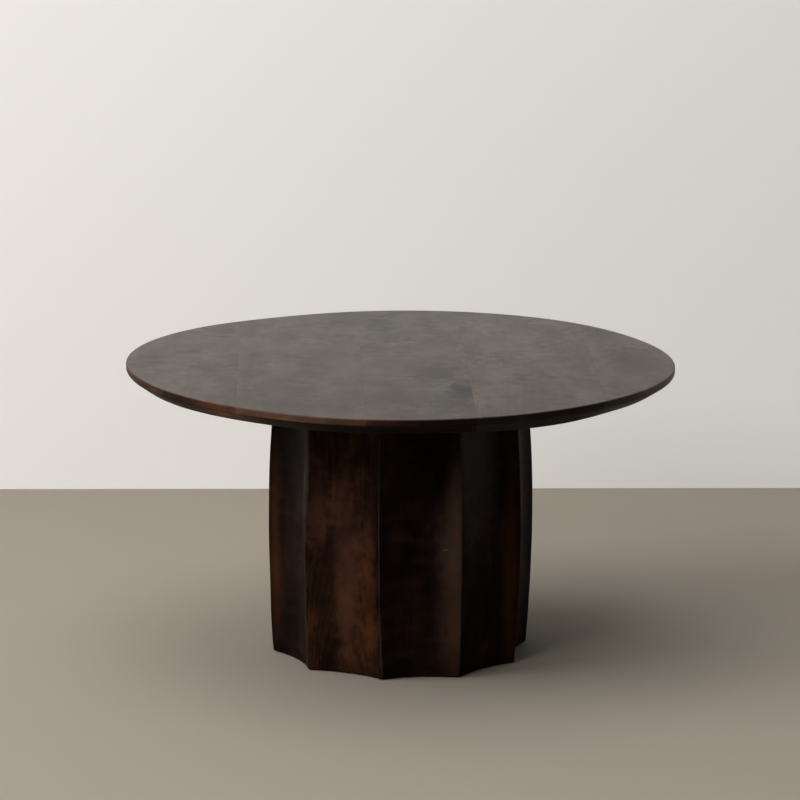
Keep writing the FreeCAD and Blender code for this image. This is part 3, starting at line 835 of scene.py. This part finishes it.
zinc_plate = worn_metal("zinc_plate", zinc, zinc_yellow, zinc_dull, zinc_roughness, zinc_scale)
coat(zinc_plate, "plate_screws", "ring_screws")

# Top. Five boards are glued edge to edge on hidden tongues, then cut to a round by eye and stained
# like the drum. The rim has a plumb band with a wide bevel below it, and every arris is eased by hand.
# The bevel and the underside are darkened with painted shade, which fades out at the bevel's left end.
board_count = 5
board_turn = math.radians(1.4)
rim_points = 360
rim_start = 0.406
rim_smoothing = 0.5
rim_smoothings = 4
top_easing = 0.002
band_easing = 0.003
under_easing = 0.003
rim_segments = 4
bevel_rise = 0.014
bevel_inset = 0.022
# Each row: a place on the lower edge of the bevel, and how far the edge wanders there.
bevel_wanders = (
    ((0.19, -0.33), (0.003, -0.009)),
    ((-0.33, -0.17), (-0.001, -0.002)),
)
bevel_reach = 0.13
edge_reach = 0.03
rim_tilt = 0.8
arris_start = (0.1, 0.4)
arris_end = (0.8, 0.95)
# The painted shade under the rim: where it fades out at the bevel's left end, and how far faces must look
# down to get it.
shade_fade_ends = (-0.26, -0.17)
under_range = (-0.88, -0.97)
bevel_range = (-0.1, -0.5)
bevel_shading = 0.95
underside, top_level = (corner.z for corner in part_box("top_board_3"))
band_foot = underside + bevel_rise
band_middle = (band_foot + top_level) / 2
rim_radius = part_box("top_board_5")[1].x

pattern = merged_copy("top_board_1")
others = [copy_piece(nodes[f"top_board_{number}"], "pattern") for number in range(2, board_count + 1)]
bpy.ops.object.select_all(action="DESELECT")
for board in [pattern] + others:
    board.select_set(True)
bpy.context.view_layer.objects.active = pattern
bpy.ops.object.join()

bpy.ops.object.select_all(action="DESELECT")
bpy.ops.mesh.primitive_circle_add(vertices=rim_points, radius=rim_start, location=(0, 0, band_middle))
top = bpy.context.object
bpy.ops.object.transform_apply()
rim_fit = top.modifiers.new("rim_fit", "SHRINKWRAP")
rim_fit.target = pattern
bpy.ops.object.modifier_apply(modifier=rim_fit.name)
bpy.data.objects.remove(pattern)
edit(top)
bpy.ops.mesh.vertices_smooth(factor=rim_smoothing, repeat=rim_smoothings)
bpy.ops.transform.resize(value=(1, 1, 0), center_override=(0, 0, band_foot))
bpy.ops.mesh.extrude_region_move(TRANSFORM_OT_translate={"value": (0, 0, top_level - band_foot)})
bpy.ops.mesh.edge_face_add()
select_edges(lambda place: place.z < band_foot + near)
bpy.ops.mesh.extrude_region_move(TRANSFORM_OT_translate={"value": (0, 0, -bevel_rise)})
inset_share = (rim_radius - bevel_inset) / rim_radius
bpy.ops.transform.resize(value=(inset_share, inset_share, 1), center_override=(0, 0, 0))
select_edges(lambda place: place.z < underside + near)
bpy.ops.mesh.hide(unselected=True)
for (across, back), (sideways, backwards) in bevel_wanders:
    select_edges(lambda place: (place.xy - Vector((across, back))).length < edge_reach)
    bpy.ops.transform.translate(
        value=(sideways, backwards, 0),
        use_proportional_edit=True,
        proportional_edit_falloff="SMOOTH",
        proportional_size=bevel_reach,
    )
bpy.ops.mesh.select_all(action="SELECT")
bpy.ops.mesh.edge_face_add()
bpy.ops.mesh.reveal(select=False)
for level, easing in ((top_level, top_easing), (band_foot, band_easing), (underside, under_easing)):
    select_edges(lambda place: abs(place.z - level) < near)
    bevel_selected(easing, rim_segments)
bpy.ops.mesh.select_all(action="SELECT")
bpy.ops.mesh.normals_make_consistent(inside=False)
bpy.ops.object.mode_set(mode="OBJECT")


def arris_mask(tree):
    """The eased upper arris, whose faces are neither level nor plumb."""
    facing = upward(tree)
    past_plumb = remap(tree, facing, *arris_start)
    short_of_level = remap(tree, facing, *arris_end, 1, 0)
    return calculate(tree, "MULTIPLY", past_plumb, short_of_level)


def bevel_shade_mask(tree):
    """Painted shade on the underside and the downward bevel, fading out at the bevel's left end."""
    facing = upward(tree)
    sideways = add_node(tree, "SeparateXYZ", {0: own_place(tree)}).outputs["X"]
    shaded = remap(tree, sideways, *shade_fade_ends)
    shaded = calculate(tree, "MAXIMUM", shaded, remap(tree, facing, *under_range))
    return calculate(tree, "MULTIPLY", shaded, remap(tree, facing, *bevel_range, 0, bevel_shading))


top_finish = dict(
    drum_finish,
    dark=(0.015, 0.0105, 0.0078, 1),
    middle=(0.0265, 0.0182, 0.0132, 1),
    light=(0.050, 0.0325, 0.0225, 1),
    tint=(0.044, 0.0215, 0.0165, 1),
    knot=(0.004, 0.0032, 0.0026, 1),
    rings=0.3,
    fibres=0.22,
    blotches=0.36,
    smudges=0.12,
    smears=0.035,
    hue=0.45,
    curl=0.45,
    pores=0.1,
    roughness=0.45,
    sheen=0.01,
    dulling=0.14,
    specular=0.5,
    relief=0.015,
)
rim_finish = dict(
    drum_finish,
    dark=(0.006, 0.0028, 0.002, 1),
    middle=(0.036, 0.0132, 0.0066, 1),
    light=(0.105, 0.042, 0.0175, 1),
    # The arris and some rim marks: wear with a painted sheen.
    wear_and_sheen_colour=(0.105, 0.058, 0.042, 1),
    pale_bevel=(0.23, 0.115, 0.066, 1),
    wear_and_sheen=0.42,
)
# Each board's pith: how far to the side and above the top it lies, and its lean in degrees.
board_piths = (
    (0.03, 0.09, 1.1),
    (-0.02, 0.14, -0.8),
    (0.01, 0.07, 0.7),
    (-0.03, 0.11, -1.3),
    (0.015, 0.16, 0.9),
)
board_tones = (0.06, -0.02, -0.1, 0.2, 0.04)
board_shift = 2.3
board_marks = {
    2: (
        ((-0.212, 0.053, top_level), (0.012, 0.022, 0.02), 0.6, "knot", ragged),
        ((-0.14, -0.2, top_level), (0.03, 0.05, 0.02), 0.35, "knot", ragged),
        ((-0.075, 0.31, top_level), (0.03, 0.07, 0.02), 0.4, "knot", ragged),
    ),
    3: (
        ((0.09, -0.21, top_level), (0.028, 0.08, 0.02), 1.0, "knot", ragged),
        ((0.08, -0.3, top_level), (0.05, 0.08, 0.02), 0.5, "knot", ragged),
        ((0.05, -0.075, top_level), (0.045, 0.08, 0.02), 0.55, "knot", ragged),
        ((-0.01, -0.26, top_level), (0.03, 0.05, 0.02), 0.35, "knot", ragged),
        ((-0.035, 0.29, top_level), (0.03, 0.08, 0.02), 0.5, "knot", ragged),
    ),
    4: (((0.27, 0.0, top_level), (0.02, 0.16, 0.02), 0.35, "knot", ragged),),
    5: (
        ((0.29, 0.22, top_level), (0.02, 0.07, 0.02), 0.5, "knot", ragged),
        ((0.325, 0.02, top_level), (0.03, 0.1, 0.02), 0.7, "tint", ragged),
        ((0.335, 0.03, top_level), (0.05, 0.13, 0.02), 0.4, "knot", ragged),
    ),
}
# Each board's rim tone. The darkest, on boards 4 and 5 at the right, away from the window, are partly
# painted shade.
rim_tones_and_shade = (-0.05, 0.12, 0.1, -0.45, -0.25)
rim_speculars = (0.05, 0.06, 0.06, 0.17, 0.3)
# The two dark marks at the front and front right are painted shade where the light falls off. The broad
# pale marks at the left front paint light and sheen on the band, and the small one at the seam is end
# grain. The marks low on the left make the bevel and the band's foot paler, and the dark mark at the far
# left darkens the band there.
rim_marks = (
    ((-0.33, -0.225, band_middle), (0.06, 0.06, 0.04), 0.75, "dark", soft),
    ((-0.15, -0.36, band_middle), (0.14, 0.09, 0.04), 0.5, "wear_and_sheen_colour", soft),
    ((-0.26, -0.305, band_middle), (0.045, 0.05, 0.04), 0.45, "light", soft),
    ((-0.236, -0.327, band_middle), (0.014, 0.03, 0.03), 0.9, "wear_and_sheen_colour", ragged),
    ((-0.245, -0.31, band_foot - 0.006), (0.07, 0.07, 0.0075), 0.6, "pale_bevel", soft),
    ((-0.165, -0.36, band_foot + 0.001), (0.1, 0.06, 0.004), 0.25, "pale_bevel", soft),
    ((0.08, -0.395, band_middle), (0.13, 0.05, 0.04), 0.97, "dark", soft),
    ((0.235, -0.32, band_middle), (0.09, 0.08, 0.04), 0.9, "dark", soft),
)

along_boards = around(1, board_turn, 0)
seams = []
for number in range(1, board_count):
    low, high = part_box(f"board_tongue_{number}")
    seams.append((low + high) / 2)
for number in range(1, board_count + 1):
    node = f"top_board_{number}"
    board = copy_piece(top, "dressed_" + node)
    if number > 1:
        saw(board, seams[number - 2] + along_boards * half_glue, -along_boards)
        cut_out(board, merged_copy(f"board_tongue_{number - 1}"))
    if number < board_count:
        saw(board, seams[number - 1] - along_boards * half_glue, along_boards)
        cut_out(board, merged_copy(f"board_tongue_{number}"))
    side, depth, lean = board_piths[number - 1]
    low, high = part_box(node)
    turn = (quarter + math.radians(lean), board_turn, 0)
    shift = (side - (low.x + high.x) / 2, top_level + depth, number * board_shift)
    tone = board_tones[number - 1]
    marks = board_marks.get(number, ())
    board.data.materials.append(
        stained_wood(f"stained_board_{number}", turn, shift, top_finish, tone, marks=marks)
    )
    tone = rim_tones_and_shade[number - 1]
    finish = dict(rim_finish, specular=rim_speculars[number - 1])
    board.data.materials.append(
        stained_wood(f"stained_rim_{number}", turn, shift, finish, tone, arris_mask, rim_marks, bevel_shade_mask)
    )
    for face in board.data.polygons:
        face.material_index = 1 if face.normal.z < rim_tilt else 0
    finish_piece(board, "dressed_" + node, node)
bpy.data.objects.remove(top)

# Tongues. Loose strips of beech in grooves in the edges of the boards, stopped short of the rim so
# that they never show.
tongue_wood = pale_wood("tongue_beech", (quarter, 0, 0), beech)[0]
coat(tongue_wood, *(f"board_tongue_{number}" for number in range(1, board_count)))

# Bolts, washers and inserts. Four hexagon bolts of zinc-plated steel with wide washers go up
# through the plate into brass inserts in the underside of the boards, so the top can be taken off.
brass = (0.72, 0.54, 0.26, 1)
brass_brown = (0.50, 0.33, 0.14, 1)
brass_dull = (0.33, 0.24, 0.12, 1)
brass_roughness = 0.3
brass_scale = 90
coat(zinc_plate, "top_bolts", "top_washers")
turned_brass = worn_metal("turned_brass", brass, brass_brown, brass_dull, brass_roughness, brass_scale)
coat(turned_brass, "thread_inserts")

# Glides. A hard plastic pad under each stave, moulded round its nail, keeps the end grain off a
# wet floor. The pads are dark brown, matt and scuffed by use.
pad_brown = (0.045, 0.034, 0.027, 1)
pad_scuffed = (0.12, 0.10, 0.085, 1)
scuff_scale = (350, 900)
scuff_range = (0.5, 0.72)
scuff_sheen_range = (0.35, 0.7)
pad_smoothest = 0.45
pad_roughest = 0.75
moulding_scale = 2500
moulding_relief = 0.25
moulding_depth = 0.0001
pad_material, tree, shader = new_material("glide_plastic")
place = own_place(tree)
scuffs = grain_noise(tree, place, scuff_scale, detail=4)
scuffed = mix(tree, remap(tree, scuffs, *scuff_range), pad_brown, pad_scuffed)
tree.links.new(scuffed, shader.inputs["Base Color"])
sheen = remap(tree, scuffs, *scuff_sheen_range, pad_smoothest, pad_roughest)
tree.links.new(sheen, shader.inputs["Roughness"])
engrave(tree, shader, moulding_relief, moulding_depth, noise(tree, place, scale=moulding_scale))
coat(pad_material, "glide_pads")
coat(zinc_plate, "glide_nails")
